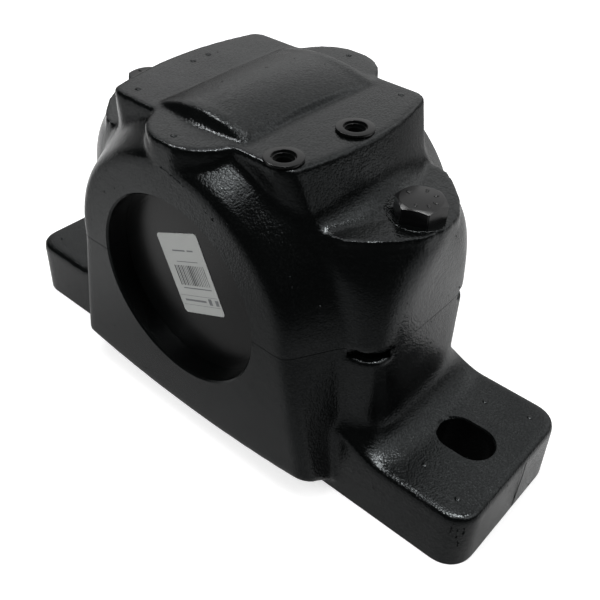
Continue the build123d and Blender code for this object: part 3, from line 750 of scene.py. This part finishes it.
# end cover: a satin disc set back in the front opening, with two faint rings near its edge
cover = {"face": -46.9, "back": -43.9, "radius": 49.9, "ringRadii": (39.2, 40.6), "ringDepth": 0.02,
         "ringHalf": 0.3}


def coverMesh():
    face, deep = cover["face"], cover["face"] + cover["ringDepth"]
    profile = [(cover["back"], 0), (cover["back"], cover["radius"]), (face, cover["radius"])]
    for radius in reversed(cover["ringRadii"]):
        profile += [(face, radius + cover["ringHalf"]), (deep, radius), (face, radius - cover["ringHalf"])]
    return meshOf(turned(profile + [(face, 0)], 160), "endCover", 30)


newPiece("endCover", coverMesh(), coverBlack, "end_cover")


# paper label on the cover: plain bars and blocks only, placed as shares of its width and height
label = {
    "x": -1.4, "z": 82.5, "turn": 24.0, "width": 27.4, "height": 38.2, "corner": 1.8, "thickness": 0.18,
    "inkLift": 0.03,
    "barShare": (0.18, 0.93), "barRows": (0.39, 0.64), "bars": 17, "narrow": 0.22, "wide": 0.85, "seed": 4,
    "blocks": ((0.26, 0.58, 0.200, 0.218), (0.63, 0.78, 0.200, 0.218), (0.27, 0.80, 0.338, 0.348),
               (0.20, 0.90, 0.668, 0.682), (0.05, 0.97, 0.770, 0.775), (0.12, 0.66, 0.820, 0.845),
               (0.72, 0.80, 0.790, 0.870), (0.88, 0.96, 0.800, 0.870), (0.05, 0.97, 0.890, 0.895)),
}


def labelPoint(across, down):
    # a place on the label, given as shares of its width from the left and of its height from the top
    lift = label["thickness"] + label["inkLift"]
    return Vector(((across - 0.5) * label["width"], (0.5 - down) * label["height"], lift)) * mm


def onLabel():
    # label's own plane, across and up it, laid on the cover's face
    plane = Matrix(((1, 0, 0, 0), (0, 0, -1, 0), (0, 1, 0, 0), (0, 0, 0, 1)))
    start = Matrix.Translation(Vector((label["x"], cover["face"], label["z"])) * mm)
    return start @ plane @ Matrix.Rotation(math.radians(label["turn"]), 4, "Z")


def barTree(material):
    tree, given = newTree("labelBars", {"Count": "Int", "Seed": "Int", "Pitch": "Float", "Height": "Float",
                                        "Narrow": "Float", "Wide": "Float"})
    step = addNode(tree, "ShaderNodeCombineXYZ", {"X": given["Pitch"]})
    line = addNode(tree, "GeometryNodeMeshLine", {"Count": given["Count"], "Offset": step.outputs["Vector"]})
    bar = addNode(tree, "GeometryNodeMeshGrid", {"Size X": 1.0, "Size Y": 1.0, "Vertices X": 2,
                                                 "Vertices Y": 2})
    width = addNode(tree, "FunctionNodeRandomValue", {2: given["Narrow"], 3: given["Wide"],
                                                      "Seed": given["Seed"]})
    size = addNode(tree, "ShaderNodeCombineXYZ", {"X": width.outputs[1], "Y": given["Height"], "Z": 1.0})
    placed = addNode(tree, "GeometryNodeInstanceOnPoints", {
        "Points": line.outputs["Mesh"], "Instance": bar.outputs["Mesh"], "Scale": size.outputs["Vector"]})
    return finishTree(tree, placed.outputs["Instances"], material, smooth=False)


def labelBars():
    left, right = label["barShare"]
    top, bottom = label["barRows"]
    width, height = label["width"], label["height"]
    bars = grown(bpy.data.meshes.new("labelBars"), barTree(labelInk), {
        "Count": label["bars"], "Pitch": (right - left) * width / label["bars"] * mm, "Seed": label["seed"],
        "Height": (bottom - top) * height * mm, "Narrow": label["narrow"] * mm, "Wide": label["wide"] * mm})
    bars.transform(onLabel() @ Matrix.Translation(labelPoint(left, (top + bottom) / 2)))
    return bars


def labelBlocks():
    bm = bmesh.new()
    for left, right, top, bottom in label["blocks"]:
        corners = ((left, bottom), (right, bottom), (right, top), (left, top))
        bm.faces.new([bm.verts.new(labelPoint(u, v)) for u, v in corners])
    bm.transform(onLabel())
    return meshOf(bm, "labelBlocks")


sheet = prism(roundedOutline(label["width"], label["height"], label["corner"]), 0, label["thickness"])
sheet.transform(onLabel())
# the label paper's grey is painted shade from the recess around the cover
newPiece("coverLabel", meshOf(sheet, "coverLabel"), labelPaperWithPaintedShade, "cover_label")
newPiece("labelBars", labelBars(), labelInk)
newPiece("labelBlocks", labelBlocks(), paleInk)
print("fittings made")


# the inner pieces keep their CAD shapes
finishes = {
    "outer_ring": bearingSteel, "inner_ring": bearingSteel, "rollers_front": bearingSteel,
    "rollers_rear": bearingSteel, "cage_front": cageSteel, "cage_rear": cageSteel, "guide_ring": cageSteel,
    "adapter_sleeve": sleeveSteel, "lock_washer": sleeveSteel, "lock_nut": sleeveSteel,
    "locating_ring_front": ringIron, "locating_ring_rear": ringIron, "shaft_seal_upper": sealRubber,
    "shaft_seal_lower": sealRubber, "cover_strip": sealRubber, "dowel_pin_right": pinSteel,
    "dowel_pin_left": pinSteel,
}
for node, material in finishes.items():
    nodes[node].data.materials.clear()
    nodes[node].data.materials.append(material)


# room as the black paint mirrors it: pale wall behind, window at the right, dark side behind the camera
room = {
    "dark": 0.03,
    "patches": (                 # azimuth from the front and elevation, inner and outer reach, strength
        (-155, 38, 16, 50, 0.80), (-120, 26, 6, 18, 0.20), (148, 34, 12, 38, 0.75), (108, 50, 10, 24, 1.15),
        (98, 26, 4, 18, 0.35), (-98, 4, 6, 26, 0.25), (0, 78, 8, 20, 2.3), (-140, 67, 3, 11, 2.5),
        (88, 64, 4, 16, 1.8),
    ),
    # softbox above, small lamps that only the edges catch, fill that lights the label and isn't mirrored
    "lamps": (                   # azimuth, elevation, distance and width in metres, watts, rays that miss it
        ("softbox", -4, 77, 0.8, 0.22, 0.45, None),
        ("edgeLamp", -88, 60, 0.8, 0.16, 1.3, "visible_diffuse"),
        ("edgeLamp", 100, 70, 0.8, 0.16, 2.2, "visible_diffuse"),
        ("edgeLamp", 60, 83, 0.8, 0.16, 2.2, "visible_diffuse"),
        ("fill", -25, 35, 1.2, 0.8, 7.0, "visible_glossy"),
    ),
}
# pale paper under the block; what the paint mirrors of it is a painted glow, set in metres from the block's
# middle
floorPaper = {
    "colour": "#ececec", "roughness": 0.9, "glow": 0.6, "below": 0.3, "half": 3.0,
    "fade": (0.15, 0.42, 0.34, 0.05),
    "patches": ((-145, 70, 125, 0.32), (115, 6, 32, 0.50), (-96, 5, 26, 0.45), (-38, 5, 20, 0.38)),
    "patchesFrom": (0.10, 0.20, 0.0, 1.0), "block": (0.135, 0.035, 0), "edge": (-0.012, 0.004, 0.06, 1.0),
}


def direction(azimuth, elevation=0):
    az, el = math.radians(azimuth), math.radians(elevation)
    return Vector((math.sin(az) * math.cos(el), -math.cos(az) * math.cos(el), math.sin(el)))


def addPatch(tree, way, middle, inner, outer, gain, total):
    # soft round patch of light about one direction, added to what is there
    facing = addNode(tree, "ShaderNodeVectorMath", {0: way, 1: middle}, operation="DOT_PRODUCT")
    patch = addNode(tree, "ShaderNodeMapRange", {
        "Value": facing.outputs["Value"], "From Min": math.cos(math.radians(outer)),
        "From Max": math.cos(math.radians(inner)), "To Min": 0.0, "To Max": gain},
        interpolation_type="SMOOTHSTEP")
    both = addNode(tree, "ShaderNodeMath", {0: total, 1: patch.outputs["Result"]}, operation="ADD")
    return both.outputs["Value"]


def wallLight():
    world = bpy.data.worlds.new("studio")
    scene.world = world
    world.use_nodes = True
    tree = world.node_tree
    way = addNode(tree, "ShaderNodeTexCoord").outputs["Generated"]
    total = room["dark"]
    for azimuth, elevation, inner, outer, gain in room["patches"]:
        total = addPatch(tree, way, direction(azimuth, elevation), inner, outer, gain, total)
    path = addNode(tree, "ShaderNodeLightPath")
    strength = addNode(tree, "ShaderNodeMix", {"Factor": path.outputs["Is Camera Ray"], "A": total, "B": 1.0},
                       data_type="FLOAT")
    background = tree.nodes["Background"]
    background.inputs["Color"].default_value = (1, 1, 1, 1)
    tree.links.new(strength.outputs["Result"], background.inputs["Strength"])


def areaLamp(name, azimuth, elevation, away, size, power, unseenBy):
    lamp = bpy.data.lights.new(name, "AREA")
    lamp.shape = "DISK"
    lamp.size = size
    lamp.energy = power
    thing = bpy.data.objects.new(name, lamp)
    scene.collection.objects.link(thing)
    way = direction(azimuth, elevation)
    thing.location = boreAxis + way * away
    thing.rotation_mode = "QUATERNION"
    thing.rotation_quaternion = (-way).to_track_quat("-Z", "Y")
    if unseenBy:
        setattr(thing, unseenBy, False)


def paperFloor():
    bm = bmesh.new()
    half, low = floorPaper["half"], -floorPaper["below"] * mm
    corners = ((-half, -half), (half, -half), (half, half), (-half, half))
    bm.faces.new([bm.verts.new((x, y, low)) for x, y in corners])
    floor = bpy.data.objects.new("floor", meshOf(bm, "floor"))
    scene.collection.objects.link(floor)
    limits = {name: dict(zip(rangeSockets, floorPaper[name])) for name in ("fade", "patchesFrom", "edge")}
    material, tree, shader, place = newMaterial("mattWhitePaper", floorPaper["colour"],
                                                floorPaper["roughness"])
    path = addNode(tree, "ShaderNodeLightPath").outputs
    seen = addNode(tree, "ShaderNodeMath", {0: path["Is Camera Ray"], 1: floorPaper["glow"]},
                   operation="MULTIPLY")
    glow = addNode(tree, "ShaderNodeEmission", {"Strength": seen.outputs["Value"]})
    shown = addNode(tree, "ShaderNodeAddShader", {0: shader.outputs["BSDF"], 1: glow.outputs["Emission"]})
    # gloss sees a painted glow in place of the paper as the room would light it, paler away from the dark
    # side
    flat = addNode(tree, "ShaderNodeVectorMath", {0: place}, operation="NORMALIZE").outputs["Vector"]
    away = addNode(tree, "ShaderNodeVectorMath", {0: place}, operation="LENGTH").outputs["Value"]
    base = addNode(tree, "ShaderNodeMapRange", {"Value": away, **limits["fade"]})
    pale = 0.0
    for azimuth, inner, outer, gain in floorPaper["patches"]:
        pale = addPatch(tree, flat, direction(azimuth), inner, outer, gain, pale)
    clear = addNode(tree, "ShaderNodeMapRange", {"Value": away, **limits["patchesFrom"]},
                    interpolation_type="SMOOTHSTEP")
    paler = addNode(tree, "ShaderNodeMath", {0: pale, 1: clear.outputs["Result"]}, operation="MULTIPLY")
    both = addNode(tree, "ShaderNodeMath", {0: paler.outputs["Value"], 1: base.outputs["Result"]},
                   operation="ADD")
    # painted shade: the mirrored glow fades to nothing under the block itself
    across = addNode(tree, "ShaderNodeVectorMath", {0: place}, operation="ABSOLUTE")
    beyond = addNode(tree, "ShaderNodeVectorMath", {0: across.outputs["Vector"], 1: floorPaper["block"]},
                     operation="SUBTRACT")
    sides = addNode(tree, "ShaderNodeSeparateXYZ", {"Vector": beyond.outputs["Vector"]})
    outside = addNode(tree, "ShaderNodeMath", {0: sides.outputs["X"], 1: sides.outputs["Y"]},
                      operation="MAXIMUM")
    lit = addNode(tree, "ShaderNodeMapRange", {"Value": outside.outputs["Value"], **limits["edge"]},
                  interpolation_type="SMOOTHSTEP")
    strength = addNode(tree, "ShaderNodeMath", {0: both.outputs["Value"], 1: lit.outputs["Result"]},
                       operation="MULTIPLY")
    mirrored = addNode(tree, "ShaderNodeEmission", {"Strength": strength.outputs["Value"]})
    choice = addNode(tree, "ShaderNodeMixShader", {0: path["Is Glossy Ray"], 1: shown.outputs["Shader"],
                                                   2: mirrored.outputs["Emission"]})
    tree.links.new(choice.outputs["Shader"], tree.nodes["Material Output"].inputs["Surface"])
    floor.data.materials.append(material)


lens = {"place": (0.2046, -0.2198, 0.2904), "azimuth": 40.09, "elevation": 39.68, "roll": 1.94,
        "focal": 48.055, "sensor": 36, "nearest": 0.01}


def addCamera():
    az, el, roll = (math.radians(lens[angle]) for angle in ("azimuth", "elevation", "roll"))
    ahead = Vector((-math.sin(az) * math.cos(el), math.cos(az) * math.cos(el), -math.sin(el)))
    right = Vector((math.cos(az), math.sin(az), 0))
    up = right.cross(ahead)
    turnedRight = right * math.cos(roll) + up * math.sin(roll)
    turnedUp = -right * math.sin(roll) + up * math.cos(roll)
    camera = bpy.data.objects.new("camera", bpy.data.cameras.new("camera"))
    camera.data.lens = lens["focal"]
    camera.data.sensor_width = lens["sensor"]
    camera.data.clip_start = lens["nearest"]
    scene.collection.objects.link(camera)
    spin = Matrix((turnedRight, turnedUp, -ahead)).transposed().to_4x4()
    camera.matrix_world = Matrix.Translation(lens["place"]) @ spin
    scene.camera = camera


wallLight()
for lamp in room["lamps"]:
    areaLamp(*lamp)
paperFloor()
addCamera()
scene.view_settings.view_transform = "Standard"
print("studio ready")
